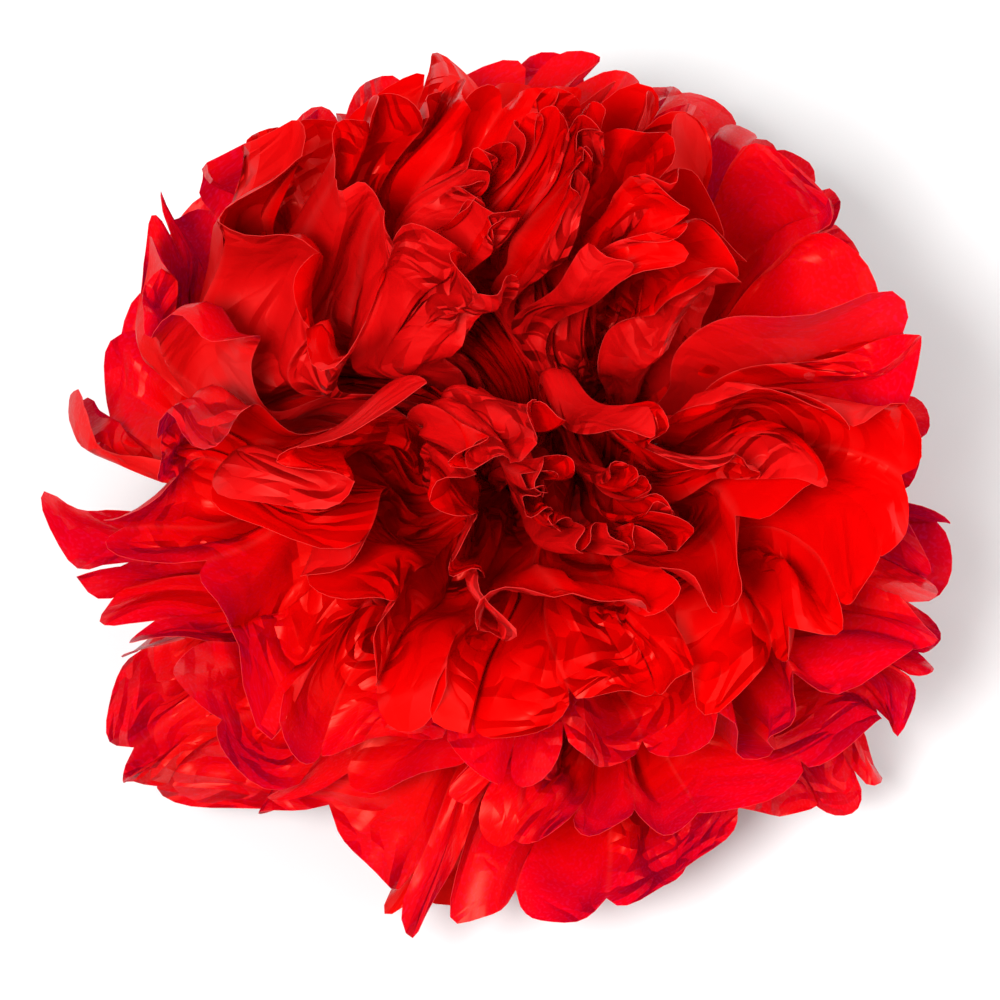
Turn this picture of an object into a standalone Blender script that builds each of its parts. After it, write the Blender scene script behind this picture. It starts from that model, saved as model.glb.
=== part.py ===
"""Tissue paper pom pom: accordion-folded sheets, tied at the waist with wire and fluffed into a ball.

Metres, +Z up, standing on z = 0, with the origin under the middle. Every sheet is one piece of paper.
It is gathered in a narrow band inside the wire, and from there its two halves fan out to +Y and to -Y.
Each half wraps round the leaning axis of its own cluster of petals, and its cut end is a row of round
lobes, one to a pleat.
"""

import math

import bmesh
import bpy
import numpy as np

# Paper
SHEET_REACH = 0.116  # from the tie to the top of a lobe: half of the sheet's length
LOBE_DEPTH = 0.0095  # how far the cut goes in between two lobes
LOBE_SHOULDER = 0.68  # a lobe's shoulders lie this far up it
LOBE_WIDTH = 0.74  # and this far apart, as a share of the pleat
PLEATS = 20  # panels across a sheet, so 20 lobes at each end
PAPER_THICKNESS = 0.0003

# Tie
WAIST_WIDTH = 0.012  # width of the gathered sheets inside the wire
WAIST_LENGTH = 0.003  # length of the flat band under the wire
SHEET_GAP = 0.0003  # between two sheets inside the wire
WIRE_DIAMETER = 0.0007
WIRE_CLEARANCE = 0.0003
TAIL_LENGTH = 0.012  # the wire's two ends, twisted together below the tie
TAIL_TURNS = 2
TAIL_GAP = 0.0003  # between the two twisted ends
CORNER_STEPS = 2  # straight runs in each bend of the wire
TURN_STEPS = 6  # and in each turn of its tail

# Layout of the ball. A level is a share of the way from a cluster's axis to the edge of its quarter,
# a ruffle is how far a sheet's fold lines swing off its level, and room is how freely its petals curl.
# All run from the top down
UPPER_LEVELS = (0.15, 0.36, 0.57, 0.78, 0.985)
UPPER_RUFFLES = (0.062, 0.080, 0.086, 0.080, 0.058)
UPPER_ROOM = (0.45, 0.85, 1, 1, 1)
LOWER_LEVELS = (0.80, 0.54, 0.26)
LOWER_RUFFLES = (0.062, 0.090, 0.075)
LOWER_ROOM = (1, 0.85, 0.5)
CLUSTER_TILT = math.radians(20)  # each half's axis leans this far off the vertical
SEAM_CROWDING = 1.1  # beside the seam between the halves, levels lie this much further out
CROWDED_FROM = math.radians(90)  # where that begins and where it is complete, as a turn round the axis
CROWDED_TO = math.radians(150)
LEAST_WRAP = math.radians(88)  # a half turns at least this far to either side of its middle
MOST_WRAP = math.radians(172)
FAN_SPREAD = math.radians(84)  # half of the fan's angle right beside the tie
CORNER_POWER = 5  # how sharply a quarter's two edges meet at the ends of the seam
LEAST_RUFFLE = 0.15  # the smallest swing of a fold line, as a share of the ruffle
STRAY = 0.28  # how far a fold line strays along the sheet, in pleats
LEAVE_WAIST = 0.020  # a sheet has turned to its own level at this distance from the tie
SPREAD_OUT = 0.060  # and wraps fully round its cluster at this one
CUPPING = 0.55  # how far the petals close over the middle of their cluster
CUP_FROM = 0.050  # and where on the paper that begins, measured from the tie
UPPER_ROWS = 5  # rows of panels from the tie to the lobes
LOWER_ROWS = 4
ROW_POWER = 1.5  # rows are closer together beside the tie
ARC_STEPS = 720

# Petals, one to a lobe
PETAL_BULGE = 0.0026  # the most that a petal bulges to either side
PETAL_LOOSE_FROM = 0.025  # where on the paper that begins, and where it is complete
PETAL_LOOSE_TO = 0.100
LIP_CURL = 0.0034  # how far the lips of petals usually curl
LIP_LENGTH = 0.0215

# How the ball was fluffed: wavelength and push of each random drift, the same for every sheet
DRIFTS = ((0.160, 0.0100), (0.080, 0.0075), (0.050, 0.0045))
DRIFT_WAVES = 9
DRIFT_STEPS = 3
DRIFT_SPREAD = (0.75, 1.3)  # shortest and longest wave of a drift, as shares of its wavelength
DRIFT_SIDES = (-1, 1, 1)  # the streams run as seen in a mirror
STILL_RADIUS = 0.016  # the paper round the tie is not moved
FREE_RADIUS = 0.080

# How it stands
WAIST_HEIGHT = 0.084
TOP_SAG = 0.93  # height above the tie, as a share of what it would be without weight
FLOOR_SOFTNESS = 0.009  # how gently the lower lobes bend on to the table
FOOT_SPREAD = 0.10  # how much wider the ball gets at its foot
FOOT_PRESS = 0.0025  # the lobes below this height are pressed flat
FOOT_LAYER = 0.0009  # from one pressed sheet to the next

SEED = 9
SHEET_SEEDS = 100  # between the random numbers of two balls
PETAL_SEEDS = 7000
TISSUE_RED = (0.80, 0.005, 0.008, 1.0)
WIRE_GREY = (0.55, 0.55, 0.56, 1.0)

STACK = len(UPPER_LEVELS) + len(LOWER_LEVELS)
SHEET_PITCH = PAPER_THICKNESS + SHEET_GAP


def smooth_step(value, low, high):
    """0 below low, 1 above high, and a smooth rise between them."""
    share = np.clip((value - low) / (high - low), 0, 1)
    return share * share * (3 - 2 * share)


def edge_angle(turn):
    """Angle from a cluster's axis to the edge of its quarter of the ball, at each turn round that axis."""
    to_equator = np.arctan2(math.cos(CLUSTER_TILT), np.cos(turn) * math.sin(CLUSTER_TILT))
    to_seam = np.arctan2(math.sin(CLUSTER_TILT), -np.cos(turn) * math.cos(CLUSTER_TILT))
    return (to_equator**-CORNER_POWER + to_seam**-CORNER_POWER) ** (-1 / CORNER_POWER)


def crowding(turn):
    """How much further out a level lies at this turn than on the outer side of its cluster."""
    return 1 + SEAM_CROWDING * smooth_step(np.abs(turn), CROWDED_FROM, CROWDED_TO)


def level_angle(level, turn):
    """Angle from a cluster's axis to a level."""
    return edge_angle(turn) * level * crowding(turn)


def wrap_of(level, ruffle):
    """How far a sheet turns to either side before its edge comes to the seam."""
    turns = np.linspace(LEAST_WRAP, MOST_WRAP, ARC_STEPS)
    clear = turns[(level + ruffle) * crowding(turns) < 1]
    return clear.max() if clear.size else LEAST_WRAP


def evenly_along(folds, level, wrap):
    """The turn of each fold line at the rim, where the pleats share the sheet's arc evenly."""
    turn = np.linspace(-wrap, wrap, ARC_STEPS + 1)
    angle = level_angle(level, turn)
    steps = np.hypot(np.diff(angle), np.sin(angle[1:]) * np.diff(turn))
    length = np.concatenate([[0], np.cumsum(steps)])
    return np.interp(folds / PLEATS * length[-1], length, turn)


def drift(points):
    """Moves points along smooth random streams, which can bend and lean sheets but never cross them."""
    moved = points.copy()
    for number, (wavelength, push) in enumerate(DRIFTS):
        random = np.random.default_rng(SEED + number)
        headings = random.normal(size=(DRIFT_WAVES, 3))
        headings /= np.linalg.norm(headings, axis=1)[:, None]
        pushes = np.cross(headings, random.normal(size=(DRIFT_WAVES, 3)))
        pushes *= push * math.sqrt(2 / DRIFT_WAVES) / np.linalg.norm(pushes, axis=1)[:, None]
        pushes *= DRIFT_SIDES
        waves = headings * DRIFT_SIDES * (2 * math.pi / wavelength)
        waves *= random.uniform(*DRIFT_SPREAD, DRIFT_WAVES)[:, None]
        phases = random.uniform(0, 2 * math.pi, DRIFT_WAVES)
        for _ in range(DRIFT_STEPS):
            free = smooth_step(np.linalg.norm(moved, axis=1), STILL_RADIUS, FREE_RADIUS)
            moved += (np.sin(moved @ waves.T + phases) @ pushes) * (free / DRIFT_STEPS)[:, None]
    return moved


def settle(points, floor):
    """Lets the ball rest on the table. Heights go in from the tie, and come out from the table."""
    height = points[:, 2] * np.where(points[:, 2] > 0, TOP_SAG, 1) + WAIST_HEIGHT
    low = 1 - smooth_step(height, 0, WAIST_HEIGHT)
    settled = points * (1 + FOOT_SPREAD * low)[:, None]
    bent = FLOOR_SOFTNESS * np.logaddexp(0, height / FLOOR_SOFTNESS) - FOOT_PRESS
    settled[:, 2] = np.maximum(bent, floor)
    return settled


class Sheet:
    """One sheet of tissue. A place on it is its fold (0 to PLEATS), its half (+1 or -1) and its reach."""

    def __init__(self, number, level, ruffle, room, rows, side):
        """Number 1 is on top, and side is +1 above the tie and -1 below."""
        self.number = number
        self.level = level
        self.room = room
        self.wrap = wrap_of(level, ruffle)
        self.rows = rows
        self.side = side
        random = np.random.default_rng(SHEET_SEEDS * SEED + number)
        swing = random.uniform(LEAST_RUFFLE, 1, (2, PLEATS + 1)) * ruffle
        self.swings = swing * np.where(np.arange(PLEATS + 1) % 2, 1, -1)
        self.strays = random.uniform(-STRAY, STRAY, (2, PLEATS + 1))
        self.strays[:, [0, -1]] = 0
        random = np.random.default_rng(PETAL_SEEDS + number)
        self.bulges = random.uniform(-PETAL_BULGE, PETAL_BULGE, (2, PLEATS))
        self.curls = random.normal(0, LIP_CURL, (2, PLEATS))
        self.fold_curls = random.normal(0, LIP_CURL, (2, PLEATS + 1))

    def waist_height(self):
        """Height of this sheet inside the tie, from the middle of the stack."""
        return SHEET_PITCH * ((STACK + 1) / 2 - self.number)

    def floor(self):
        """The lowest that the middle of this sheet's paper can lie, on the sheets below it."""
        return PAPER_THICKNESS / 2 + FOOT_LAYER * (STACK - self.number)

    def between_folds(self, values, fold, half):
        """Values given at each half's fold lines, at places between them."""
        lines = np.arange(PLEATS + 1)
        return np.where(half > 0, np.interp(fold, lines, values[0]), np.interp(fold, lines, values[1]))

    def points(self, fold, half, reach):
        """Where places on the sheet lie, with the tie at the origin and before the ball was fluffed."""
        across = 2 * fold / PLEATS - 1
        spread = smooth_step(reach, 0, SPREAD_OUT)
        strayed = fold + self.between_folds(self.strays, fold, half)
        at_rim = evenly_along(strayed, self.level, self.wrap)
        turn = (1 - spread) * FAN_SPREAD * across + spread * at_rim
        level = self.level + self.between_folds(self.swings, fold, half) * spread
        cup = CUPPING * smooth_step(reach, CUP_FROM, SHEET_REACH)
        angle = level_angle(level * (1 - cup * np.clip(1 - level, 0, 1) ** 2), turn)
        out = np.sin(angle) * np.cos(turn)
        lean_sin = math.sin(CLUSTER_TILT)
        lean_cos = math.cos(CLUSTER_TILT)
        aimed = np.stack([
            np.sin(angle) * np.sin(turn),
            np.cos(angle) * lean_sin + out * lean_cos,
            self.side * (np.cos(angle) * lean_cos - out * lean_sin),
        ], axis=1)
        flat = np.stack([np.sin(FAN_SPREAD * across), np.cos(FAN_SPREAD * across), 0 * fold], axis=1)
        turned = smooth_step(reach, 0, LEAVE_WAIST)[:, None]
        heading = (1 - turned) * flat + turned * aimed
        heading /= np.linalg.norm(heading, axis=1)[:, None]
        placed = heading * reach[:, None]
        placed[:, 0] += WAIST_WIDTH / 2 * across
        placed[:, 1] = (placed[:, 1] + WAIST_LENGTH / 2) * half
        placed[:, 2] += self.waist_height()
        return placed

    def lift(self, fold, half, reach):
        """How far a place is lifted off its panel, where petals bulge and their lips curl."""
        pleat = np.clip(np.floor(fold), 0, PLEATS - 1).astype(int)
        end = np.where(half > 0, 0, 1)
        dome = np.sin(math.pi * (fold - pleat))
        bulge = self.bulges[end, pleat] * smooth_step(reach, PETAL_LOOSE_FROM, PETAL_LOOSE_TO)
        lip = np.clip((reach - SHEET_REACH) / LIP_LENGTH + 1, 0, 1) ** 2
        curl = self.curls[end, pleat] * dome + self.between_folds(self.fold_curls, fold, half)
        return self.room * (bulge * dome + curl * lip)

    def flat(self):
        """The sheet as it is cut. X counts the pleats, and Y is the distance from the tie."""
        shape = bmesh.new()
        rows = 2 * self.rows + 1
        bmesh.ops.create_grid(shape, x_segments=PLEATS, y_segments=rows, size=0.5)
        band = WAIST_LENGTH / 2
        notch = SHEET_REACH - LOBE_DEPTH
        for vert in shape.verts:
            row = max(abs(vert.co.y) * rows - 0.5, 0)
            reach = band + (notch - band) * (row / self.rows) ** ROW_POWER
            vert.co = ((vert.co.x + 0.5) * PLEATS, math.copysign(reach, vert.co.y), 0)
        ends = [e for e in shape.edges if e.is_boundary and e.verts[0].co.y == e.verts[1].co.y]
        tops = []
        for end in ends:
            middle = (end.verts[0].co.x + end.verts[1].co.x) / 2
            lobe = bmesh.ops.extrude_edge_only(shape, edges=[end])["geom"]
            shoulders = [v for v in lobe if isinstance(v, bmesh.types.BMVert)]
            for vert in shoulders:
                vert.co.x = middle + (vert.co.x - middle) * LOBE_WIDTH
                vert.co.y = math.copysign(notch + LOBE_DEPTH * LOBE_SHOULDER, vert.co.y)
            tops.append(shape.edges.get(shoulders))
        cut = bmesh.ops.subdivide_edges(shape, edges=tops, cuts=1)["geom_inner"]
        for tip in [v for v in cut if isinstance(v, bmesh.types.BMVert)]:
            tip.co.y = math.copysign(SHEET_REACH, tip.co.y)
        bmesh.ops.triangulate(shape, faces=shape.faces, quad_method="ALTERNATE", ngon_method="BEAUTY")
        return shape

    def mesh(self):
        """The sheet folded into its place in the ball. It has no thickness."""
        shape = self.flat()
        flat = np.array([vert.co for vert in shape.verts])
        reach = np.abs(flat[:, 1]) - WAIST_LENGTH / 2
        places = self.points(flat[:, 0], np.sign(flat[:, 1]), reach)
        for vert, place in zip(shape.verts, places, strict=True):
            vert.co = place
        shape.normal_update()
        normals = np.array([vert.normal for vert in shape.verts])
        places += normals * self.lift(flat[:, 0], np.sign(flat[:, 1]), reach)[:, None]
        for vert, place in zip(shape.verts, settle(drift(places), self.floor()), strict=True):
            vert.co = place
        mesh = bpy.data.meshes.new("folded_sheet")
        shape.to_mesh(mesh)
        shape.free()
        return mesh


def wire_points():
    """The wire's middle line: one end of the tail, once round the gathered stack, and the other end."""
    off = WIRE_CLEARANCE + WIRE_DIAMETER / 2
    wide = WAIST_WIDTH / 2
    high = (SHEET_PITCH * (STACK - 1) + PAPER_THICKNESS) / 2
    strand = (WIRE_DIAMETER + TAIL_GAP) / 2
    loop = []
    for corner in range(4):
        for step in range(CORNER_STEPS + 1):
            angle = -math.pi / 2 - math.pi / 2 * (corner + step / CORNER_STEPS)
            side = -1 if corner in (0, 1) else 1
            level = -1 if corner in (0, 3) else 1
            loop.append((side * wide + off * math.cos(angle), 0, level * high + off * math.sin(angle)))
    tail = []
    for step in range(TAIL_TURNS * TURN_STEPS + 1):
        angle = 2 * math.pi * step / TURN_STEPS
        drop = TAIL_LENGTH * step / (TAIL_TURNS * TURN_STEPS)
        tail.append((strand * math.cos(angle), strand * math.sin(angle), -high - off - drop))
    ahead = [(-x, -y, z) for x, y, z in reversed(tail)]
    return np.array(ahead + loop + tail)


def add_wire(collection, shade):
    """The tie, a bent wire with closed ends."""
    curve = bpy.data.curves.new("wire_tie", "CURVE")
    curve.dimensions = "3D"
    curve.bevel_depth = WIRE_DIAMETER / 2
    curve.bevel_resolution = 2
    curve.use_fill_caps = True
    places = settle(drift(wire_points()), 0)
    spline = curve.splines.new("POLY")
    spline.points.add(len(places) - 1)
    for point, place in zip(spline.points, places, strict=True):
        point.co = (*place, 1)
    curve.materials.append(shade)
    wire = bpy.data.objects.new("wire_tie", curve)
    collection.objects.link(wire)
    return wire


def add_sheet(sheet, collection, shade):
    """A sheet with its thickness. What lies on the table is pressed flat on it."""
    thin = bpy.data.objects.new("thin", sheet.mesh())
    collection.objects.link(thin)
    solid = thin.modifiers.new("paper", "SOLIDIFY")
    solid.thickness = PAPER_THICKNESS
    solid.offset = 0
    graph = bpy.context.evaluated_depsgraph_get()
    mesh = bpy.data.meshes.new_from_object(thin.evaluated_get(graph))
    bpy.data.objects.remove(thin)
    for vert in mesh.vertices:
        if vert.co.z < PAPER_THICKNESS / 2:
            vert.co.z = 0
    mesh.materials.append(shade)
    made = bpy.data.objects.new(f"tissue_sheet_{sheet.number:02d}", mesh)
    collection.objects.link(made)
    return made


def material(name, colour, roughness, metallic):
    """A plain material."""
    made = bpy.data.materials.new(name)
    made.use_nodes = True
    shader = made.node_tree.nodes["Principled BSDF"]
    shader.inputs["Base Color"].default_value = colour
    shader.inputs["Roughness"].default_value = roughness
    shader.inputs["Metallic"].default_value = metallic
    return made


def main():
    """Makes the sheets from the top down and the wire, and brings the origin under the middle."""
    for old in list(bpy.data.objects):
        bpy.data.objects.remove(old)
    collection = bpy.data.collections.new("tissue_pom_pom")
    bpy.context.scene.collection.children.link(collection)
    paper = material("red_tissue", TISSUE_RED, roughness=0.55, metallic=0)
    steel = material("steel_wire", WIRE_GREY, roughness=0.35, metallic=1)
    upper = zip(UPPER_LEVELS, UPPER_RUFFLES, UPPER_ROOM, strict=True)
    lower = zip(LOWER_LEVELS, LOWER_RUFFLES, LOWER_ROOM, strict=True)
    layout = [(*sizes, UPPER_ROWS, 1) for sizes in upper] + [(*sizes, LOWER_ROWS, -1) for sizes in lower]
    made = []
    for number, sizes in enumerate(layout, 1):
        made.append(add_sheet(Sheet(number, *sizes), collection, paper))
    corners = np.array([corner[:2] for sheet in made for corner in sheet.bound_box])
    middle = (corners.min(axis=0) + corners.max(axis=0)) / 2
    for piece in [*made, add_wire(collection, steel)]:
        piece.location = (-middle[0], -middle[1], 0)


main()
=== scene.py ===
"""Looks of the tissue paper pom pom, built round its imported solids.

Eight sheets of thin red tissue are cut flat with a row of round lobes at both ends, pleated, tied at the
waist with wire and fluffed into two clusters of petals. Each sheet is cut by one Geometry Nodes tree and
then folded into the place that its solid holds.
"""

import logging
import math
from dataclasses import dataclass, field
from enum import Enum

import bpy
import numpy as np
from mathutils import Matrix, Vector


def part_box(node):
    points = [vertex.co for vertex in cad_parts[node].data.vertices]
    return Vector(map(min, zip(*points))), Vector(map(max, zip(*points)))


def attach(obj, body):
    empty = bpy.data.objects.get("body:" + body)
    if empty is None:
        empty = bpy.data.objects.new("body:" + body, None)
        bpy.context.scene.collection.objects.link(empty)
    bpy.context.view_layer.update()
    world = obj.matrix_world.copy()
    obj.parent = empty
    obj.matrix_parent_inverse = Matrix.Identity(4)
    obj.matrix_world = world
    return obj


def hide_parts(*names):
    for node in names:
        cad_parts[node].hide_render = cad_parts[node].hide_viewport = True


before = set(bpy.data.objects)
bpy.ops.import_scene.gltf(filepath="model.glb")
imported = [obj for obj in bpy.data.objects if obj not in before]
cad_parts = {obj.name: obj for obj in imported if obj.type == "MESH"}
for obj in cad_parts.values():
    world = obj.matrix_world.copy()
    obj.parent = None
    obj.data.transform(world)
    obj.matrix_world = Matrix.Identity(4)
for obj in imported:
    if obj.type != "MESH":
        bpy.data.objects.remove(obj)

log = logging.getLogger("pom_pom")

SEED = 9
Colour = tuple[float, float, float]


class Side(Enum):
    """Which way a sheet's petals were pulled from the tie."""

    UPPER = 1
    LOWER = -1


@dataclass(frozen=True)
class Paper:
    """The flat sheet, as it is cut and pleated.

    Attributes:
        reach: From the tie to the top of a lobe, half of the sheet's length.
        lobe_depth: How far the cut goes in between two lobes.
        pleats: Panels across the sheet, and lobes at each end.
        pleat_width: Width of one panel.
        thickness: Thickness that the tissue is drawn with.
        columns: Faces across one panel.
        rows: Faces from the tie to the top of a lobe.
    """

    reach: float = 0.116
    lobe_depth: float = 0.0095
    pleats: int = 20
    pleat_width: float = 0.024
    thickness: float = 0.00012
    columns: int = 10
    rows: int = 48


@dataclass(frozen=True)
class Waist:
    """The gathered band of paper inside the wire.

    Attributes:
        width: Along the wire's loop.
        length: Along the petals.
        pitch: From one sheet to the next.
        height: Above the table.
    """

    width: float = 0.012
    length: float = 0.003
    pitch: float = 0.0006
    height: float = 0.084


@dataclass(frozen=True)
class Ball:
    """How the sheets share the ball. Angles are in radians.

    Attributes:
        tilt: Each cluster's axis leans this far off the vertical.
        crowding: Beside the seam, levels lie this much further out.
        crowded_from: Turn round the axis at which that begins.
        crowded_to: Turn round the axis at which it is complete.
        least_wrap: A half sheet turns at least this far to either side.
        most_wrap: A half sheet turns at most this far to either side.
        fan_spread: Half of the fan's angle right beside the tie.
        corner_power: How sharply a quarter's two edges meet at the ends of the seam.
        leave_waist: A sheet has turned to its own level this far from the tie.
        spread_out: It wraps fully round its cluster this far from the tie.
        cupping: How far the petals close over the middle of their cluster.
        cup_from: Where on the paper that begins.
        top_sag: Height above the tie, as a share of the height without weight.
        floor_softness: How gently the lower lobes bend on to the table.
        foot_spread: How much wider the ball gets at its foot.
        foot_press: The lobes below this height are pressed flat.
        foot_layer: From one pressed sheet to the next.
    """

    tilt: float = math.radians(20)
    crowding: float = 1.1
    crowded_from: float = math.radians(90)
    crowded_to: float = math.radians(150)
    least_wrap: float = math.radians(88)
    most_wrap: float = math.radians(172)
    fan_spread: float = math.radians(84)
    corner_power: float = 5
    leave_waist: float = 0.020
    spread_out: float = 0.060
    cupping: float = 0.55
    cup_from: float = 0.050
    top_sag: float = 0.93
    floor_softness: float = 0.009
    foot_spread: float = 0.10
    foot_press: float = 0.0025
    foot_layer: float = 0.0009


PAPER = Paper()
WAIST = Waist()
BALL = Ball()


def smooth_step(value: np.ndarray, low: float, high: float) -> np.ndarray:
    """0 below low, 1 above high, and a smooth rise between them."""
    share = np.clip((value - low) / (high - low), 0, 1)
    return share * share * (3 - 2 * share)


def edge_angle(turn: np.ndarray) -> np.ndarray:
    """Angle from a cluster's axis to the edge of its quarter of the ball.

    Args:
        turn: Turns round that axis, 0 on the outer side.

    Returns:
        The angle at each turn.
    """
    to_equator = np.arctan2(math.cos(BALL.tilt), np.cos(turn) * math.sin(BALL.tilt))
    to_seam = np.arctan2(math.sin(BALL.tilt), -np.cos(turn) * math.cos(BALL.tilt))
    power = BALL.corner_power
    return (to_equator**-power + to_seam**-power) ** (-1 / power)


def crowding(turn: np.ndarray) -> np.ndarray:
    """How much further out a level lies at each turn than on the outer side of its cluster."""
    return 1 + BALL.crowding * smooth_step(np.abs(turn), BALL.crowded_from, BALL.crowded_to)


def level_angle(level: np.ndarray | float, turn: np.ndarray) -> np.ndarray:
    """Angle from a cluster's axis to a level."""
    return edge_angle(turn) * level * crowding(turn)


def between_folds(values: np.ndarray, fold: np.ndarray, half: np.ndarray) -> np.ndarray:
    """Values given at each half's fold lines, at places between them.

    Args:
        values: A row for each half, with a value for each fold line.
        fold: Places across the sheet, counted in pleats.
        half: 1 for the first end of the sheet and -1 for the other.

    Returns:
        The value at each place.
    """
    lines = np.arange(PAPER.pleats + 1)
    return np.where(half > 0, np.interp(fold, lines, values[0]), np.interp(fold, lines, values[1]))


@dataclass(frozen=True)
class Drift:
    """One family of smooth random streams, which lean and bend all sheets alike and never cross them.

    Attributes:
        wavelength: Typical distance from one stream to the next.
        push: How far a stream carries the paper.
        number: Its place in the list of drifts, which also seeds it.
        waves: Waves that it is made of.
        steps: Steps in which the paper is carried.
        still_radius: Paper this near to the tie isn't moved.
        free_radius: Paper this far from it is carried in full.
        spread: Least and greatest number of waves to a wavelength.
        mirror: -1 for each direction in which the streams are mirrored.
    """

    wavelength: float
    push: float
    number: int
    waves: int = 9
    steps: int = 3
    still_radius: float = 0.016
    free_radius: float = 0.080
    spread: tuple[float, float] = (0.75, 1.3)
    mirror: tuple[int, int, int] = (-1, 1, 1)

    def carry(self, points: np.ndarray) -> np.ndarray:
        """Carries points along the streams.

        Args:
            points: Places measured from the tie.

        Returns:
            Where the streams bring them.
        """
        random = np.random.default_rng(SEED + self.number)
        headings = random.normal(size=(self.waves, 3))
        headings /= np.linalg.norm(headings, axis=1)[:, None]
        pushes = np.cross(headings, random.normal(size=(self.waves, 3)))
        pushes *= self.push * math.sqrt(2 / self.waves) / np.linalg.norm(pushes, axis=1)[:, None]
        spread = random.uniform(*self.spread, self.waves)[:, None]
        waves = headings * (2 * math.pi / self.wavelength) * spread * self.mirror
        pushes *= self.mirror
        phases = random.uniform(0, 2 * math.pi, self.waves)
        moved = points.copy()
        for _ in range(self.steps):
            free = smooth_step(np.linalg.norm(moved, axis=1), self.still_radius, self.free_radius)
            moved += (np.sin(moved @ waves.T + phases) @ pushes) * (free / self.steps)[:, None]
        return moved


DRIFTS = (Drift(0.160, 0.0100, 0), Drift(0.080, 0.0075, 1), Drift(0.050, 0.0045, 2))


def settle(points: np.ndarray, floor: float) -> np.ndarray:
    """Lets the ball rest on the table.

    Args:
        points: Places with their heights measured from the tie.
        floor: The lowest that this paper can lie.

    Returns:
        The places with their heights measured from the table.
    """
    height = points[:, 2] * np.where(points[:, 2] > 0, BALL.top_sag, 1) + WAIST.height
    low = 1 - smooth_step(height, 0, WAIST.height)
    settled = points * (1 + BALL.foot_spread * low)[:, None]
    bent = BALL.floor_softness * np.logaddexp(0, height / BALL.floor_softness) - BALL.foot_press
    settled[:, 2] = np.maximum(bent, floor)
    return settled


class NodeSheet:
    """Helps to lay out a node tree: it makes nodes, links them and does arithmetic between sockets."""

    def __init__(self, tree: bpy.types.NodeTree) -> None:
        """Works on the given tree."""
        self.tree = tree

    def node(self, kind: str, **settings: object) -> bpy.types.Node:
        """Adds a node.

        Args:
            kind: The node's type.
            settings: Its properties.

        Returns:
            The new node.
        """
        made = self.tree.nodes.new(kind)
        for name, value in settings.items():
            setattr(made, name, value)
        return made

    def join(self, source: object, target: bpy.types.NodeSocket) -> None:
        """Links a socket to an input, or sets the input to a plain value."""
        if isinstance(source, bpy.types.NodeSocket):
            self.tree.links.new(source, target)
        else:
            target.default_value = source

    def sum(self, operation: str, *values: object, clamp: bool = False) -> bpy.types.NodeSocket:
        """Does one step of arithmetic.

        Args:
            operation: The arithmetic node's operation.
            values: Sockets or numbers that it works on.
            clamp: Whether the result is kept between 0 and 1.

        Returns:
            The socket that holds the result.
        """
        made = self.node("ShaderNodeMath", operation=operation, use_clamp=clamp)
        for value, target in zip(values, made.inputs):
            self.join(value, target)
        return made.outputs[0]

    def noise(self, place: bpy.types.NodeSocket, scale: float) -> bpy.types.NodeSocket:
        """Adds a plain flat noise.

        Args:
            place: Where on the flat sheet it is read.
            scale: How many spots there are to the metre.

        Returns:
            The socket that holds its value.
        """
        made = self.node("ShaderNodeTexNoise", noise_dimensions="2D")
        self.join(place, made.inputs["Vector"])
        self.join(scale, made.inputs["Scale"])
        self.join(0.0, made.inputs["Detail"])
        return made.outputs["Fac"]

    def blend(self, share: bpy.types.NodeSocket, low: object, high: object) -> bpy.types.NodeSocket:
        """Mixes two colours.

        Args:
            share: How much there is of the second.
            low: The first colour, or the socket that holds it.
            high: The second colour, or the socket that holds it.

        Returns:
            The socket that holds the mixed colour.
        """
        made = self.node("ShaderNodeMix", data_type="RGBA")
        self.join(share, made.inputs["Factor"])
        for name, colour in (("A", low), ("B", high)):
            self.join((*colour, 1) if isinstance(colour, tuple) else colour, made.inputs[name])
        return made.outputs["Result"]


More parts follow.
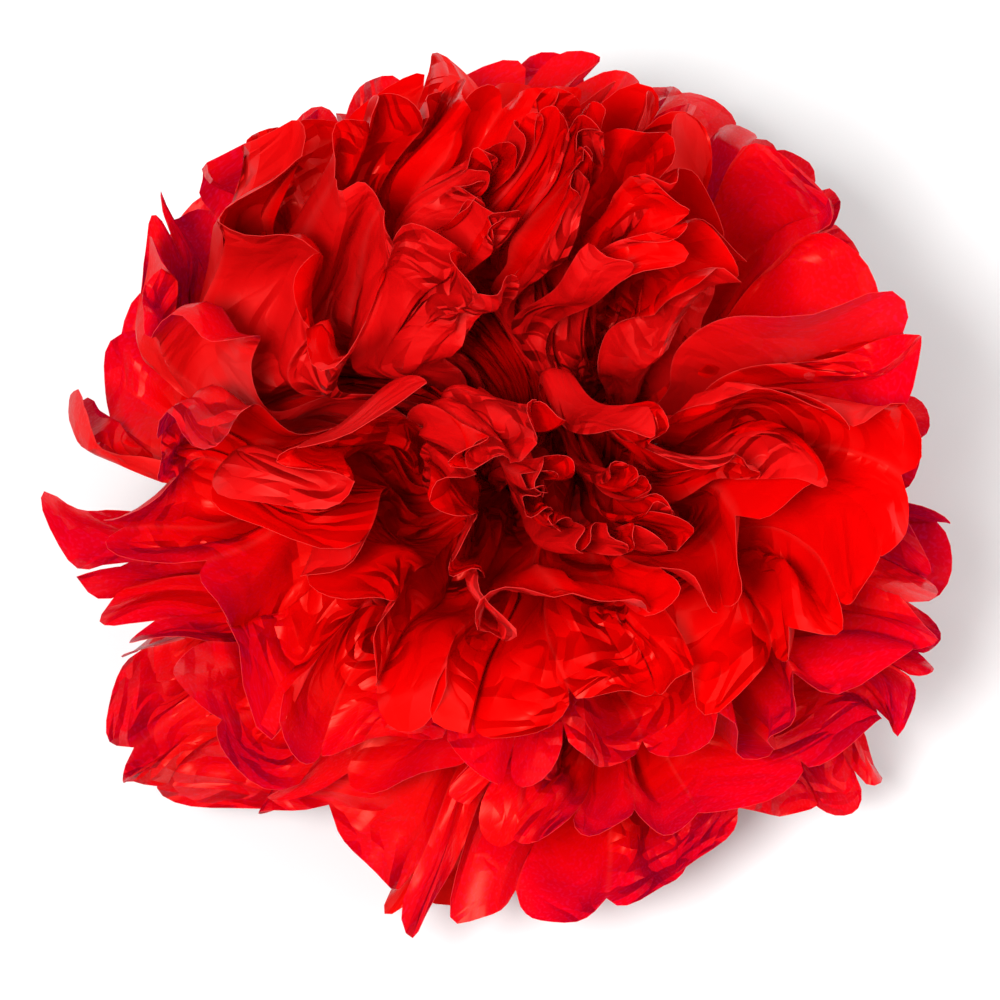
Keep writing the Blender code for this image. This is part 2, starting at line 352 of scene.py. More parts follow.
class BlankCutter:
    """Cuts flat sheets with round lobes, by one Geometry Nodes tree."""

    TREE = "cut_blank"
    NUDGE = 1e-4  # counts a fold line to the pleat after it
    EVEN_SHARE = 0.35  # how evenly columns stand; the rest draws them to the fold lines
    LOBE_TOP = 2.3  # how flat a lobe's top is
    LOBE_FLANKS = 0.48  # how gently its flanks rise
    LOBE_ROWS = 4.0  # how late along the sheet the rows take a lobe's shape
    ROW_POWER = 1.1  # how much closer together rows stand beside the tie

    def __init__(self) -> None:
        """Builds the tree once, for all sheets."""
        self.tree = bpy.data.node_groups.new(self.TREE, "GeometryNodeTree")
        self.sockets = self.declare()
        self.lay_out()

    def declare(self) -> dict[str, str]:
        """Returns:
            The identifier of each input by its name.
        """
        kinds = {
            "Pleats": "NodeSocketInt",
            "Columns": "NodeSocketInt",
            "Rows": "NodeSocketInt",
            "Pleat Width": "NodeSocketFloat",
            "Reach": "NodeSocketFloat",
            "Lobe Depth": "NodeSocketFloat",
            "Band": "NodeSocketFloat",
            "Paper": "NodeSocketMaterial",
        }
        face = self.tree.interface
        made = {
            name: face.new_socket(name, in_out="INPUT", socket_type=kind) for name, kind in kinds.items()
        }
        face.new_socket("Blank", in_out="OUTPUT", socket_type="NodeSocketGeometry")
        return {name: socket.identifier for name, socket in made.items()}

    def lay_out(self) -> None:
        """Lays out the tree: a grid, its pleats and rows, the lobes, and the flat places."""
        sheet = NodeSheet(self.tree)
        given = sheet.node("NodeGroupInput").outputs
        across = sheet.sum("ADD", sheet.sum("MULTIPLY", given["Pleats"], given["Columns"]), 1.0)
        half_rows = sheet.sum("MULTIPLY_ADD", given["Rows"], 2.0, 1.0)
        grid = sheet.node("GeometryNodeMeshGrid")
        sheet.join(1.0, grid.inputs["Size X"])
        sheet.join(1.0, grid.inputs["Size Y"])
        sheet.join(across, grid.inputs["Vertices X"])
        sheet.join(sheet.sum("ADD", half_rows, 1.0), grid.inputs["Vertices Y"])
        place = sheet.node("ShaderNodeSeparateXYZ")
        sheet.join(sheet.node("GeometryNodeInputPosition").outputs[0], place.inputs[0])
        counted = sheet.sum("MULTIPLY", sheet.sum("ADD", place.outputs["X"], 0.5), given["Pleats"])
        pleat = sheet.sum("FLOOR", sheet.sum("ADD", counted, self.NUDGE))
        within = sheet.sum("SUBTRACT", counted, pleat, clamp=True)
        swung = sheet.sum("COSINE", sheet.sum("MULTIPLY", within, math.pi))
        rounded = sheet.sum("MULTIPLY_ADD", swung, -0.5, 0.5)
        gathered = sheet.sum(
            "ADD",
            sheet.sum("MULTIPLY", within, self.EVEN_SHARE),
            sheet.sum("MULTIPLY", rounded, 1 - self.EVEN_SHARE),
        )
        fold = sheet.sum("ADD", pleat, gathered)
        row = sheet.sum("MULTIPLY_ADD", sheet.sum("ABSOLUTE", place.outputs["Y"]), half_rows, -0.5)
        along = sheet.sum("DIVIDE", sheet.sum("MAXIMUM", row, 0.0), given["Rows"])
        off_middle = sheet.sum("ABSOLUTE", sheet.sum("MULTIPLY_ADD", gathered, 2.0, -1.0))
        arc = sheet.sum("SUBTRACT", 1.0, sheet.sum("POWER", off_middle, self.LOBE_TOP), clamp=True)
        lobe = sheet.sum("POWER", arc, self.LOBE_FLANKS)
        near_end = sheet.sum("POWER", along, self.LOBE_ROWS)
        notch = sheet.sum("SUBTRACT", given["Reach"], given["Lobe Depth"])
        reach = sheet.sum(
            "ADD",
            sheet.sum("MULTIPLY", notch, sheet.sum("POWER", along, self.ROW_POWER)),
            sheet.sum("MULTIPLY", sheet.sum("MULTIPLY", given["Lobe Depth"], lobe), near_end),
        )
        half = sheet.sum("SIGN", place.outputs["Y"])
        flat = sheet.node("ShaderNodeCombineXYZ")
        sheet.join(sheet.sum("MULTIPLY", fold, given["Pleat Width"]), flat.inputs["X"])
        from_middle = sheet.sum("MULTIPLY_ADD", given["Band"], 0.5, reach)
        sheet.join(sheet.sum("MULTIPLY", from_middle, half), flat.inputs["Y"])
        laid = grid.outputs["Mesh"]
        for name, value in (("fold", fold), ("half", half), ("reach", reach)):
            store = sheet.node("GeometryNodeStoreNamedAttribute", data_type="FLOAT", domain="POINT")
            sheet.join(laid, store.inputs["Geometry"])
            sheet.join(name, store.inputs["Name"])
            sheet.join(value, store.inputs["Value"])
            laid = store.outputs["Geometry"]
        moved = sheet.node("GeometryNodeSetPosition")
        sheet.join(laid, moved.inputs["Geometry"])
        sheet.join(flat.outputs[0], moved.inputs["Position"])
        real = sheet.node("GeometryNodeRealizeInstances")
        sheet.join(moved.outputs[0], real.inputs[0])
        dressed = sheet.node("GeometryNodeSetMaterial")
        sheet.join(real.outputs[0], dressed.inputs["Geometry"])
        sheet.join(given["Paper"], dressed.inputs["Material"])
        sheet.join(dressed.outputs[0], sheet.node("NodeGroupOutput").inputs[0])

    def cut(self, name: str, paper: bpy.types.Material) -> bpy.types.Mesh:
        """Cuts one flat sheet.

        Args:
            name: The mesh's name.
            paper: Its material.

        Returns:
            The flat mesh, with each point's fold, half and reach.
        """
        holder = bpy.data.objects.new("blank", bpy.data.meshes.new("blank"))
        bpy.context.scene.collection.objects.link(holder)
        cutter = holder.modifiers.new("cut", "NODES")
        cutter.node_group = self.tree
        values = {
            "Pleats": PAPER.pleats,
            "Columns": PAPER.columns,
            "Rows": PAPER.rows,
            "Pleat Width": PAPER.pleat_width,
            "Reach": PAPER.reach,
            "Lobe Depth": PAPER.lobe_depth,
            "Band": WAIST.length,
            "Paper": paper,
        }
        for key, value in values.items():
            cutter[self.sockets[key]] = value
        graph = bpy.context.evaluated_depsgraph_get()
        mesh = bpy.data.meshes.new_from_object(holder.evaluated_get(graph))
        bpy.data.objects.remove(holder)
        mesh.name = name
        return mesh


@dataclass
class Petals:
    """What was done to each petal of a sheet by hand: numbers for each half, and pleat or fold line.

    Attributes:
        number: The sheet's number, which seeds them.
        room: How much room the petals have, from 0 to 1.
        most_bulge: The most that a petal bulges to either side.
        lip_curl: How far the lips of petals usually curl.
        lip_length: Length of a lip.
        most_dent: Depth of the deepest dent across a petal.
        dent_reach: Between which distances from the tie the dents lie.
        dent_flank: Width of a dent's flank.
        usual_lean: How far petals usually lean to one side.
        loose_reach: Where on the paper bulge and lean begin, and where they are complete.
        seeds: Added to the sheet's number for its seed.
    """

    number: int
    room: float
    most_bulge: float = 0.0026
    lip_curl: float = 0.0034
    lip_length: float = 0.0215
    most_dent: float = 0.0042
    dent_reach: tuple[float, float] = (0.062, 0.100)
    dent_flank: float = 0.016
    usual_lean: float = 0.0022
    loose_reach: tuple[float, float] = (0.025, 0.100)
    seeds: int = 7000
    bulge: np.ndarray = field(init=False)
    curl: np.ndarray = field(init=False)
    fold_curl: np.ndarray = field(init=False)
    dent: np.ndarray = field(init=False)
    dent_at: np.ndarray = field(init=False)
    lean: np.ndarray = field(init=False)

    def __post_init__(self) -> None:
        """Draws the petals' shapes, the first three as their solid has them."""
        random = np.random.default_rng(self.seeds + self.number)
        shape = (2, PAPER.pleats)
        self.bulge = random.uniform(-self.most_bulge, self.most_bulge, shape)
        self.curl = random.normal(0, self.lip_curl, shape)
        self.fold_curl = random.normal(0, self.lip_curl, (2, PAPER.pleats + 1))
        self.dent = random.uniform(-self.most_dent, self.most_dent, shape)
        self.dent_at = random.uniform(*self.dent_reach, shape)
        self.lean = random.normal(0, self.usual_lean, shape)

    def lift(self, fold: np.ndarray, half: np.ndarray, reach: np.ndarray) -> np.ndarray:
        """How far each place is lifted off its panel.

        Args:
            fold: Places across the sheet, counted in pleats.
            half: 1 for the first end of the sheet and -1 for the other.
            reach: Distances from the tie.

        Returns:
            The lift along the paper's normal.
        """
        pleat = np.clip(np.floor(fold).astype(int), 0, PAPER.pleats - 1)
        end = np.where(half > 0, 0, 1)
        within = np.clip(fold - pleat, 0, 1)
        dome = np.sin(math.pi * within)
        loose = smooth_step(reach, *self.loose_reach)
        lip = np.clip((reach - PAPER.reach) / self.lip_length + 1, 0, 1) ** 2
        lift = self.bulge[end, pleat] * dome * loose
        lift += (self.curl[end, pleat] * dome + between_folds(self.fold_curl, fold, half)) * lip
        off_dent = np.abs(reach - self.dent_at[end, pleat]) / self.dent_flank
        lift += self.dent[end, pleat] * np.clip(1 - off_dent, 0, 1) * dome
        lift += self.lean[end, pleat] * np.sin(2 * math.pi * within) * loose
        return lift * self.room


@dataclass
class Crumple:
    """Creases pressed into the paper at random, laid out on the flat sheet.

    Each is a low tent: a sharp crest of some length, with two flat flanks.

    Attributes:
        seed: The sheet's own seed.
        patches: How many places of the sheet are crumpled.
        count: How many creases there are.
        broad: Least and greatest width of a flank.
        steep: Least and greatest slope of a flank.
        scatter: How far creases usually lie from the middle of their patch.
        long: Least and greatest length of a crest, as shares of the flank.
        share_along: Share of the creases that run along the petals.
        sway: How far those usually swing off that.
    """

    seed: int
    patches: int
    count: int
    broad: tuple[float, float]
    steep: tuple[float, float]
    scatter: float = 0.011
    long: tuple[float, float] = (1.6, 3.6)
    share_along: float = 0.45
    sway: float = 0.30
    middle: np.ndarray = field(init=False)
    run: np.ndarray = field(init=False)
    flank: np.ndarray = field(init=False)
    length: np.ndarray = field(init=False)
    height: np.ndarray = field(init=False)

    def __post_init__(self) -> None:
        """Draws the creases of one sheet."""
        random = np.random.default_rng(self.seed)
        count = self.count
        width = PAPER.pleats * PAPER.pleat_width
        patch = random.uniform((0, -PAPER.reach), (width, PAPER.reach), (self.patches, 2))
        near_patch = patch[random.integers(self.patches, size=count)]
        self.middle = near_patch + random.normal(0, self.scatter, (count, 2))
        along = random.normal(math.pi / 2, self.sway, count)
        goes_along = random.uniform(size=count) < self.share_along
        angle = np.where(goes_along, along, random.uniform(0, math.pi, count))
        self.run = np.stack([np.cos(angle), np.sin(angle)], axis=1)
        self.flank = random.uniform(*self.broad, count)
        self.length = self.flank * random.uniform(*self.long, count)
        self.height = self.flank * random.uniform(*self.steep, count) * random.choice((-1, 1), count)

    def lift(self, flat: np.ndarray) -> np.ndarray:
        """How far each place on the flat sheet is lifted.

        Args:
            flat: Places on the flat sheet.

        Returns:
            The lift along the paper's normal.
        """
        lift = np.zeros(len(flat))
        for middle, run, flank, length, height in zip(
            self.middle, self.run, self.flank, self.length, self.height
        ):
            near = np.flatnonzero(np.abs(flat - middle).max(axis=1) < length + flank)
            off = flat[near] - middle
            beside = np.abs(off[:, 0] * run[1] - off[:, 1] * run[0])
            along = (off @ run) / length
            lift[near] += height * np.clip(1 - beside / flank, 0, 1) * np.clip(1 - along**2, 0, 1)
        return lift


@dataclass
class TissueSheet:
    """One sheet of tissue, folded into its place in the ball.

    Attributes:
        number: 1 is on top.
        level: Its share of the way from its cluster's axis to the edge of the quarter.
        ruffle: How far its fold lines swing off that level.
        side: Which way its petals were pulled.
        room: How much room its petals have, from 0 to 1.
        stack: How many sheets were folded together.
        least_ruffle: The smallest swing of a fold line, as a share of the ruffle.
        stray: How far a fold line strays along the sheet, in pleats.
        fold_softness: How round its fold lines are.
        own_pattern: From one sheet's creases to the next one's, on the pattern that all share.
        outer_reach: Where on the paper an outer lobe begins, and where it is complete; these lobes carry
            the painted pink glow.
        outer_level: Up to the first level a sheet isn't an outer one, and from the second it is.
        crumple_reach: Where on the paper crumples begin, and where they are complete.
        least_crumple: Share of its crumples that a sheet without room keeps.
        broad_creases: Seed, patches, number, flank widths and slopes of the broad creases.
        fine_creases: The same of the fine ones.
        smooth_angle: Faces that meet at less than this are shaded as one.
    """

    number: int
    level: float
    ruffle: float
    side: Side
    room: float = 1.0
    stack: int = 8
    least_ruffle: float = 0.15
    stray: float = 0.28
    fold_softness: float = 0.20
    arc_steps: int = 720
    own_pattern: float = 1.7
    outer_reach: tuple[float, float] = (0.078, 0.104)
    outer_level: tuple[float, float] = (0.70, 0.79)
    crumple_reach: tuple[float, float] = (0.012, 0.055)
    least_crumple: float = 0.35
    broad_creases: tuple = (400, 90, 90, (0.010, 0.022), (0.10, 0.34))
    fine_creases: tuple = (500, 26, 260, (0.004, 0.009), (0.15, 0.50))
    smooth_angle: float = math.radians(26)
    swings: np.ndarray = field(init=False)
    strays: np.ndarray = field(init=False)
    wrap: float = field(init=False)

    def __post_init__(self) -> None:
        """Draws the swing and stray of every fold line, as its solid has them."""
        random = np.random.default_rng(100 * SEED + self.number)
        lines = PAPER.pleats + 1
        swing = random.uniform(self.least_ruffle, 1, (2, lines)) * self.ruffle
        self.swings = swing * np.where(np.arange(lines) % 2, 1, -1)
        self.strays = random.uniform(-self.stray, self.stray, (2, lines))
        self.strays[:, [0, -1]] = 0
        turns = np.linspace(BALL.least_wrap, BALL.most_wrap, self.arc_steps)
        clear = turns[(self.level + self.ruffle) * crowding(turns) < 1]
        self.wrap = clear.max() if clear.size else BALL.least_wrap

    @property
    def name(self) -> str:
        """The name of the solid that the sheet stands for."""
        return f"tissue_sheet_{self.number:02d}"

    def evenly_along(self, folds: np.ndarray) -> np.ndarray:
        """The turn of each fold line at the rim, where the pleats share the sheet's arc evenly."""
        turn = np.linspace(-self.wrap, self.wrap, self.arc_steps + 1)
        angle = level_angle(self.level, turn)
        steps = np.hypot(np.diff(angle), np.sin(angle[1:]) * np.diff(turn))
        length = np.concatenate([[0], np.cumsum(steps)])
        return np.interp(folds / PAPER.pleats * length[-1], length, turn)

    def points(self, fold: np.ndarray, half: np.ndarray, reach: np.ndarray) -> np.ndarray:
        """Where places on the sheet lie before the ball was fluffed.

        Args:
            fold: Places across the sheet, counted in pleats.
            half: 1 for the first end of the sheet and -1 for the other.
            reach: Distances from the tie.

        Returns:
            Places measured from the tie.
        """
        across = 2 * fold / PAPER.pleats - 1
        spread = smooth_step(reach, 0, BALL.spread_out)
        at_rim = self.evenly_along(fold + between_folds(self.strays, fold, half))
        turn = (1 - spread) * BALL.fan_spread * across + spread * at_rim
        pleat = np.floor(fold)
        softened = fold + self.fold_softness * (smooth_step(fold - pleat, 0, 1) - (fold - pleat))
        level = self.level + between_folds(self.swings, softened, half) * spread
        cup = BALL.cupping * smooth_step(reach, BALL.cup_from, PAPER.reach)
        angle = level_angle(level * (1 - cup * np.clip(1 - level, 0, 1) ** 2), turn)
        out = np.sin(angle) * np.cos(turn)
        lean_sin = math.sin(BALL.tilt)
        lean_cos = math.cos(BALL.tilt)
        aimed = np.stack([
            np.sin(angle) * np.sin(turn),
            np.cos(angle) * lean_sin + out * lean_cos,
            self.side.value * (np.cos(angle) * lean_cos - out * lean_sin),
        ], axis=1)
        fan = BALL.fan_spread * across
        flat = np.stack([np.sin(fan), np.cos(fan), 0 * fold], axis=1)
        turned = smooth_step(reach, 0, BALL.leave_waist)[:, None]
        heading = (1 - turned) * flat + turned * aimed
        heading /= np.linalg.norm(heading, axis=1)[:, None]
        placed = heading * reach[:, None]
        placed[:, 0] += WAIST.width / 2 * across
        placed[:, 1] = (placed[:, 1] + WAIST.length / 2) * half
        placed[:, 2] += WAIST.pitch * ((self.stack + 1) / 2 - self.number)
        return placed

    def fold_up(self, mesh: bpy.types.Mesh, middle: np.ndarray) -> None:
        """Folds a flat sheet into its place in the ball.

        Args:
            mesh: The flat sheet, with each point's fold, half and reach.
            middle: Where the tie stands on the table.
        """
        count = len(mesh.vertices)
        read = {name: np.empty(count, np.float32) for name in ("fold", "half", "reach")}
        for name, values in read.items():
            mesh.attributes[name].data.foreach_get("value", values)
        fold, half, reach = (read[name].astype(float) for name in ("fold", "half", "reach"))
        flat = np.empty(count * 3)
        mesh.vertices.foreach_get("co", flat)
        flat = flat.reshape(-1, 3)[:, :2]
        apart = (self.number * self.own_pattern, 0)
        kept = mesh.attributes.new("flat_place", "FLOAT_VECTOR", "POINT")
        kept.data.foreach_set("vector", np.column_stack([flat + apart, np.zeros(count)]).ravel())
        # Mask of the painted pink glow: the lobe ends of the outer sheets.
        outer = smooth_step(np.full(count, self.level), *self.outer_level)
        outer = outer * smooth_step(reach, *self.outer_reach)
        mesh.attributes.new("painted_glow_lobe", "FLOAT", "POINT").data.foreach_set("value", outer)
        placed = self.points(fold, half, reach)
        mesh.vertices.foreach_set("co", placed.ravel())
        mesh.update()
        normals = np.empty(count * 3, np.float32)
        mesh.vertex_normals.foreach_get("vector", normals)
        normals = normals.reshape(-1, 3)
        lift = Petals(self.number, self.room).lift(fold, half, reach)
        held = self.least_crumple + (1 - self.least_crumple) * self.room
        held = held * smooth_step(reach, *self.crumple_reach)
        for seed, *creases in (self.broad_creases, self.fine_creases):
            lift += Crumple(seed + self.number, *creases).lift(flat) * held
        placed = placed + normals * lift[:, None]
        for drift in DRIFTS:
            placed = drift.carry(placed)
        floor = PAPER.thickness / 2 + BALL.foot_layer * (self.stack - self.number)
        placed = settle(placed, floor)
        placed[:, :2] += middle
        mesh.vertices.foreach_set("co", placed.ravel())
        mesh.update()

    def make(
        self, cutter: BlankCutter, papers: tuple[bpy.types.Material, ...], middle: np.ndarray
    ) -> bpy.types.Object:
        """Makes the finished sheet.

        Args:
            cutter: What cuts the flat sheet.
            papers: The materials of its upper side, its lower side and its cut edge.
            middle: Where the tie stands on the table.

        Returns:
            The sheet's object, which stands for its solid.
        """
        mesh = cutter.cut(f"{self.name}_paper", papers[0])
        for paper in papers[1:]:
            mesh.materials.append(paper)
        self.fold_up(mesh, middle)
        thin = bpy.data.objects.new("thin", mesh)
        bpy.context.scene.collection.objects.link(thin)
        solid = thin.modifiers.new("thickness", "SOLIDIFY")
        solid.thickness = PAPER.thickness
        solid.offset = 0
        solid.material_offset = 1
        solid.material_offset_rim = 2
        graph = bpy.context.evaluated_depsgraph_get()
        made = bpy.data.meshes.new_from_object(thin.evaluated_get(graph))
        bpy.data.objects.remove(thin)
        made.shade_smooth()
        made.set_sharp_from_angle(angle=self.smooth_angle)
        piece = bpy.data.objects.new(f"{self.name}_petals", made)
        bpy.context.scene.collection.objects.link(piece)
        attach(piece, "root")
        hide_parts(self.name)
        return piece


@dataclass(frozen=True)
class Creases:
    """Small facets, creases and fibres of tissue, drawn on the flat sheet by one shader group.

    Attributes:
        patches: How many crumpled and smooth patches there are to the metre.
        crumpled: Gain and offset that turn the patches' noise into crumpled places.
        bends: How many bends of the facets there are to the metre.
        astray: How far the bends and the patches shift the facets.
        facets: How many facets there are to the metre.
        depth: Gain and offset that turn crumpled places into the facets' depth, in metres.
        crest: Gain that turns a facet's middle into a paler crest, partly wear and partly a painted
            highlight.
        crest_share: How pale a crest is made.
        fibres: How many fibres there are to the metre.
        fibre_mask: Gain and offset that turn the fibres' noise into specks.
    """

    patches: float = 24
    crumpled: tuple[float, float] = (5.0, -2.45)
    bends: float = 80
    astray: tuple[float, float, float] = (0.014, 0.034, 0)
    facets: float = 105
    depth: tuple[float, float] = (-0.0038, -0.0005)
    crest: float = -9.0
    crest_share: float = 0.4
    fibres: float = 1100
    fibre_mask: tuple[float, float] = (5.0, -2.6)

    def group(self) -> bpy.types.NodeTree:
        """Builds the group.

        Returns:
            The shader node group. Height is in metres, and Crest and Fibre are masks.
        """
        group = bpy.data.node_groups.new("tissue_crumple", "ShaderNodeTree")
        group.interface.new_socket("Place", in_out="INPUT", socket_type="NodeSocketVector")
        for name in ("Height", "Crest", "Fibre"):
            group.interface.new_socket(name, in_out="OUTPUT", socket_type="NodeSocketFloat")
        sheet = NodeSheet(group)
        place = sheet.node("NodeGroupInput").outputs["Place"]
        patches = sheet.noise(place, self.patches)
        crumpled = sheet.sum("MULTIPLY_ADD", patches, *self.crumpled, clamp=True)
        astray = sheet.node("ShaderNodeCombineXYZ")
        sheet.join(sheet.noise(place, self.bends), astray.inputs["X"])
        sheet.join(patches, astray.inputs["Y"])
        bent = sheet.node("ShaderNodeVectorMath", operation="MULTIPLY_ADD")
        for value, target in zip((astray.outputs[0], self.astray, place), bent.inputs):
            sheet.join(value, target)
        cells = sheet.node("ShaderNodeTexVoronoi", voronoi_dimensions="2D", distance="MANHATTAN")
        sheet.join(bent.outputs[0], cells.inputs["Vector"])
        sheet.join(self.facets, cells.inputs["Scale"])
        facets = cells.outputs["Distance"]
        ends = sheet.node("NodeGroupOutput")
        height = sheet.sum("MULTIPLY", facets, sheet.sum("MULTIPLY_ADD", crumpled, *self.depth))
        sheet.join(height, ends.inputs["Height"])
        crest = sheet.sum("MULTIPLY_ADD", facets, self.crest, 1.0, clamp=True)
        crest = sheet.sum("MULTIPLY", crest, sheet.sum("MULTIPLY", crumpled, self.crest_share))
        sheet.join(crest, ends.inputs["Crest"])
        fibres = sheet.noise(place, self.fibres)
        specks = sheet.sum("MULTIPLY_ADD", fibres, *self.fibre_mask, clamp=True)
        sheet.join(specks, ends.inputs["Fibre"])
        return group


@dataclass(frozen=True)
class TissueFinish:
    """One side of thin dyed tissue: red, with creases paler partly from wear and partly as painted
    highlight, and a painted pink glow with pinker fibres in the outer lobes, where light comes through.

    Attributes:
        name: The material's name.
        red: Its usual colour.
        pale: Colour of the creases, partly wear and partly painted highlight.
        through: Tint of the light that comes through.
        painted_rim_glow: That tint in the outer sheets' lobes, which the photograph shows pinker: a
            painted glow of the light that comes through a single layer there.
        painted_glow_fibre: That tint at the fibres of those lobes, part of the same painted glow.
        gloss: Tint of its highlights.
        roughness: How matt it is.
        specular: Strength of its highlights.
        share_through: Share of the light that goes on through.
        fold_line: Gain that turns the distance from a fold line into a fine line.
        fold_wear_highlight: How pale a fold line is made, partly as wear and partly as a painted
            highlight along its crest.
        worn_shine: Added to the roughness where the creases are paler.
    """

    name: str = "glazed_tissue"
    red: Colour = (0.92, 0.0006, 0.0008)
    pale: Colour = (0.98, 0.022, 0.018)
    through: Colour = (0.97, 0.002, 0.05)
    painted_rim_glow: Colour = (0.98, 0.012, 0.27)
    painted_glow_fibre: Colour = (0.98, 0.12, 0.50)
    gloss: Colour = (1.0, 0.10, 0.07)
    roughness: float = 0.25
    specular: float = 0.6
    share_through: float = 0.36
    fold_line: float = -34.0
    fold_wear_highlight: float = 0.55
    worn_shine: float = -0.10

    def material(self, creases: bpy.types.NodeTree) -> bpy.types.Material:
        """Builds the material.

        Args:
            creases: The group that draws the small creases and fibres.

        Returns:
            The new material.
        """
        made = bpy.data.materials.new(self.name)
        made.use_nodes = True
        tree = made.node_tree
        tree.nodes.clear()
        sheet = NodeSheet(tree)
        flat = sheet.node("ShaderNodeAttribute", attribute_name="flat_place").outputs["Vector"]
        fold = sheet.node("ShaderNodeAttribute", attribute_name="fold").outputs["Fac"]
        crumple = sheet.node("ShaderNodeGroup", node_tree=creases)
        sheet.join(flat, crumple.inputs["Place"])
        # Pale fold lines: partly crease wear, partly a painted highlight along the fold crests.
        on_fold = sheet.sum(
            "MULTIPLY_ADD", sheet.sum("PINGPONG", fold, 0.5), self.fold_line, 1.0, clamp=True
        )
        on_fold = sheet.sum("MULTIPLY", on_fold, self.fold_wear_highlight)
        pale_wear_highlight = sheet.sum("MAXIMUM", on_fold, crumple.outputs["Crest"])
        bump = sheet.node("ShaderNodeBump")
        bump.inputs["Strength"].default_value = 1.0
        bump.inputs["Distance"].default_value = 1.0
        sheet.join(crumple.outputs["Height"], bump.inputs["Height"])
        front = sheet.node("ShaderNodeBsdfPrincipled", distribution="GGX")
        # Paler colour on fold lines and crumple crests: partly wear, partly painted highlight.
        sheet.join(sheet.blend(pale_wear_highlight, self.red, self.pale), front.inputs["Base Color"])
        matt = sheet.sum("MULTIPLY_ADD", pale_wear_highlight, self.worn_shine, self.roughness)
        sheet.join(matt, front.inputs["Roughness"])
        front.inputs["Specular Tint"].default_value = (*self.gloss, 1)
        front.inputs["Specular IOR Level"].default_value = self.specular
        sheet.join(bump.outputs["Normal"], front.inputs["Normal"])
        # Painted glow: in the outer sheets' lobes, and pinker still at their fibres, the light that
        # comes through is tinted pink.
        rim = sheet.node("ShaderNodeAttribute", attribute_name="painted_glow_lobe").outputs["Fac"]
        thin = sheet.blend(rim, self.through, self.painted_rim_glow)
        specks = sheet.sum("MULTIPLY", crumple.outputs["Fibre"], rim)
        behind = sheet.node("ShaderNodeBsdfTranslucent")
        sheet.join(sheet.blend(specks, thin, self.painted_glow_fibre), behind.inputs["Color"])
        both = sheet.node("ShaderNodeMixShader")
        both.inputs["Fac"].default_value = self.share_through
        sheet.join(front.outputs[0], both.inputs[1])
        sheet.join(behind.outputs[0], both.inputs[2])
        sheet.join(both.outputs[0], sheet.node("ShaderNodeOutputMaterial").inputs["Surface"])
        return made


GLAZED_SIDE = TissueFinish()
MATT_SIDE = TissueFinish(
    name="matt_tissue",
    red=(0.88, 0.004, 0.005),
    pale=(0.95, 0.030, 0.028),
    gloss=(1.0, 0.22, 0.18),
    roughness=0.46,
)
# Cut edge: painted lighter and pinker than the faces, a painted highlight along the paper's edges.
CUT_EDGE = TissueFinish(
    name="cut_edge",
    red=(0.97, 0.050, 0.045),
    pale=(0.98, 0.080, 0.070),
    roughness=0.60,
)


@dataclass(frozen=True)
class WireFinish:
    """Bare drawn steel wire.

    Attributes:
        name: The material's name.
        colour: Its colour.
        scratches: How many scratches there are to the metre.
        roughness: How much they vary its roughness, and the least that it is.
    """

    name: str = "drawn_wire"
    colour: Colour = (0.55, 0.55, 0.56)
    scratches: float = 1500
    roughness: tuple[float, float] = (0.3, 0.2)

    def material(self) -> bpy.types.Material:
        """Builds the material.

        Returns:
            The new material.
        """
        made = bpy.data.materials.new(self.name)
        made.use_nodes = True
        sheet = NodeSheet(made.node_tree)
        shader = made.node_tree.nodes["Principled BSDF"]
        shader.inputs["Metallic"].default_value = 1.0
        shader.inputs["Base Color"].default_value = (*self.colour, 1)
        drawn = sheet.node("ShaderNodeTexNoise")
        sheet.join(sheet.node("ShaderNodeTexCoord").outputs["Object"], drawn.inputs["Vector"])
        drawn.inputs["Scale"].default_value = self.scratches
        matt = sheet.sum("MULTIPLY_ADD", drawn.outputs["Fac"], *self.roughness)
        sheet.join(matt, shader.inputs["Roughness"])
        return made


@dataclass
class PomPom:
    """The whole ball: the sheets from the top down, and the wire round their waist.

    Attributes:
        upper: Level, ruffle and room of each sheet pulled to the top.
        lower: The same of each one pulled to the table.
    """

    upper: tuple[tuple[float, float, float], ...] = (
        (0.15, 0.062, 0.45),
        (0.36, 0.080, 0.85),
        (0.57, 0.086, 1.0),
        (0.78, 0.080, 1.0),
        (0.985, 0.058, 1.0),
    )
    lower: tuple[tuple[float, float, float], ...] = (
        (0.80, 0.062, 1.0),
        (0.54, 0.090, 0.85),
        (0.26, 0.075, 0.5),
    )

    def sheets(self) -> list[TissueSheet]:
        """The sheets from the top down."""
        given = [(*sizes[:2], Side.UPPER, sizes[2]) for sizes in self.upper]
        given += [(*sizes[:2], Side.LOWER, sizes[2]) for sizes in self.lower]
        return [TissueSheet(number, *sizes) for number, sizes in enumerate(given, 1)]

    def make(self) -> list[bpy.types.Object]:
        """Makes every sheet and dresses the wire.

        Returns:
            The sheets' objects.
        """
        lowest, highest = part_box("wire_tie")
        middle = (np.array(lowest[:2]) + np.array(highest[:2])) / 2
        creases = Creases().group()
        papers = tuple(finish.material(creases) for finish in (GLAZED_SIDE, MATT_SIDE, CUT_EDGE))
        cutter = BlankCutter()
        made = []
        for sheet in self.sheets():
            made.append(sheet.make(cutter, papers, middle))
            log.info("%s: %d faces", made[-1].name, len(made[-1].data.polygons))
        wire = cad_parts["wire_tie"]
        wire.data.materials.clear()
        wire.data.materials.append(WireFinish().material())
        return made


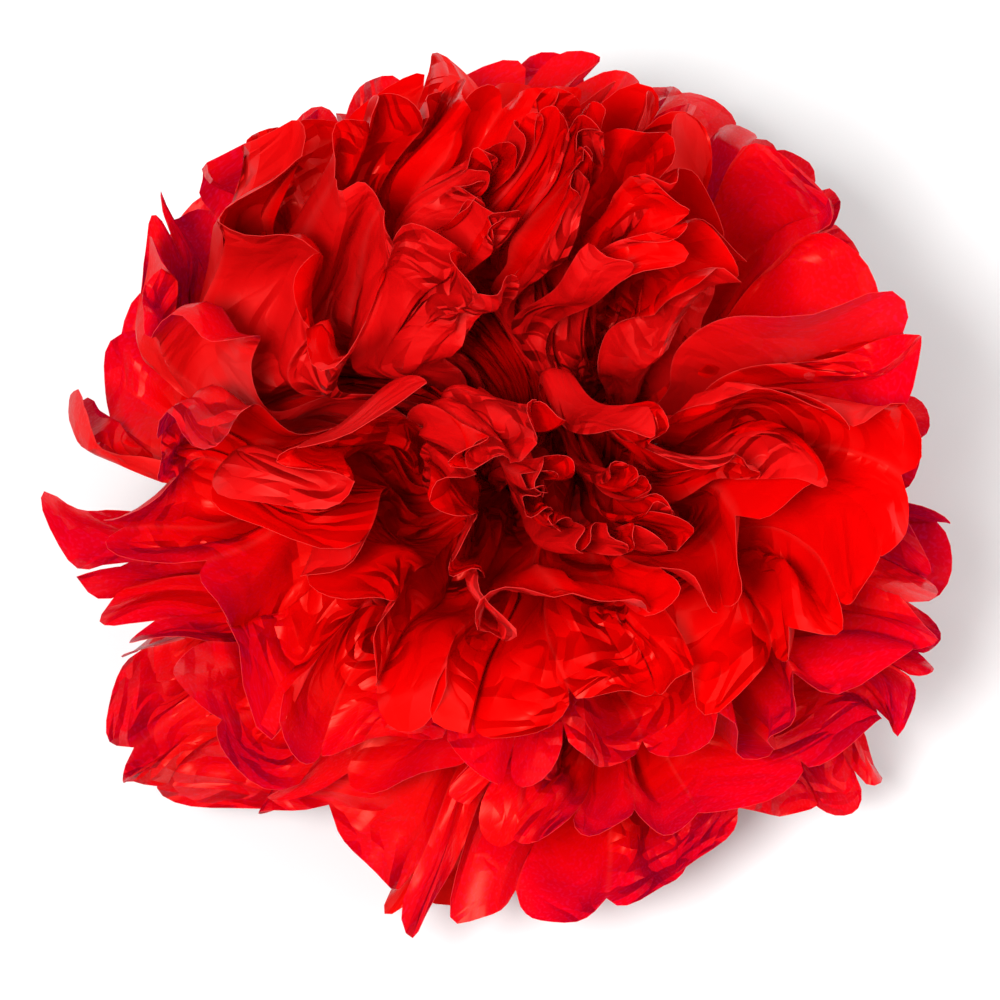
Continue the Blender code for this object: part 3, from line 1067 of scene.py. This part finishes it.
@dataclass
class Studio:
    """A pale table, soft lamps and the camera.

    Attributes:
        aim: What the camera and the lamps point at.
        elevation: How high the camera stands.
        distance: How far off it stands.
        field_of_view: Its angle of view.
        clip_start: It sees nothing nearer than this.
        bounces: How often light bounces, which keeps a full render short.
        table: Half of the table's side.
        table_colour: The table's colour.
        table_roughness: How matt the table is.
        table_gap: The table lies this far below the lowest paper, so that the two don't flicker.
        sky: How bright the sky is to all the rest.
        lamps: Name, place, side and power in watts of each lamp.
    """

    aim: tuple[float, float, float] = (0.0, -0.0126, 0.0924)
    elevation: float = math.radians(72)
    distance: float = 1.2
    field_of_view: float = math.radians(13.28)
    clip_start: float = 0.05
    bounces: int = 2
    table: float = 1.1
    table_colour: Colour = (0.85, 0.85, 0.85)
    table_roughness: float = 0.9
    table_gap: float = 0.0002
    sky: float = 0.45
    lamps: tuple = (
        ("key", (-0.45, -0.55, 1.6), 0.5, 29),
        ("fill", (1.1, 0.3, 1.0), 1.3, 13),
    )

    def floor(self) -> None:
        """Lays a pale table, on which little but the ball's shadow shows."""
        size = self.table
        mesh = bpy.data.meshes.new("table_top")
        corners = [(-size, -size, 0), (size, -size, 0), (size, size, 0), (-size, size, 0)]
        mesh.from_pydata(corners, [], [(0, 1, 2, 3)])
        top = bpy.data.objects.new("table_top", mesh)
        top.location.z = -self.table_gap
        bpy.context.scene.collection.objects.link(top)
        paint = bpy.data.materials.new("pale_table")
        paint.use_nodes = True
        shader = paint.node_tree.nodes["Principled BSDF"]
        shader.inputs["Base Color"].default_value = (*self.table_colour, 1)
        shader.inputs["Roughness"].default_value = self.table_roughness
        mesh.materials.append(paint)

    def lamp(self, name: str, place: tuple[float, float, float], size: float, power: float) -> None:
        """Adds a square soft lamp that points at the ball.

        Args:
            name: The lamp's name.
            place: Where it hangs.
            size: The side of its square.
            power: Its power in watts.
        """
        light = bpy.data.lights.new(name, "AREA")
        light.size = size
        light.energy = power
        hung = bpy.data.objects.new(name, light)
        hung.location = place
        to_ball = Vector(self.aim) - Vector(place)
        hung.rotation_euler = to_ball.to_track_quat("-Z", "Y").to_euler()
        bpy.context.scene.collection.objects.link(hung)

    def world(self) -> None:
        """A white sky for the camera, mirrors and glass, and a soft pale one for all the rest."""
        sky = bpy.data.worlds.new("studio")
        sky.use_nodes = True
        bpy.context.scene.world = sky
        sheet = NodeSheet(sky.node_tree)
        shader = sky.node_tree.nodes["Background"]
        rays = sheet.node("ShaderNodeLightPath")
        seen = sheet.sum("MAXIMUM", rays.outputs["Is Camera Ray"], rays.outputs["Is Glossy Ray"])
        seen = sheet.sum("MAXIMUM", seen, rays.outputs["Is Transmission Ray"])
        sheet.join(sheet.sum("MULTIPLY_ADD", seen, 1 - self.sky, self.sky), shader.inputs["Strength"])
        shader.inputs["Color"].default_value = (1, 1, 1, 1)

    def camera(self) -> None:
        """Sets the camera at the photograph's angle, in front of the ball and well above it."""
        eye = bpy.data.cameras.new("camera")
        eye.angle = self.field_of_view
        eye.clip_start = self.clip_start
        held = bpy.data.objects.new("camera", eye)
        way = Vector((0, -math.cos(self.elevation), math.sin(self.elevation)))
        held.location = Vector(self.aim) + way * self.distance
        held.rotation_euler = (-way).to_track_quat("-Z", "Y").to_euler()
        bpy.context.scene.collection.objects.link(held)
        bpy.context.scene.camera = held

    def make(self) -> None:
        """Sets up the whole studio."""
        bpy.context.scene.view_settings.view_transform = "Standard"
        bpy.context.scene.cycles.max_bounces = self.bounces
        self.floor()
        self.world()
        for lamp in self.lamps:
            self.lamp(*lamp)
        self.camera()


def main() -> None:
    logging.basicConfig(level=logging.INFO, format="%(name)s: %(message)s")
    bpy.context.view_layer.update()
    pieces = PomPom().make()
    log.info("%d sheets", len(pieces))
    Studio().make()


if __name__ == "__main__":
    main()
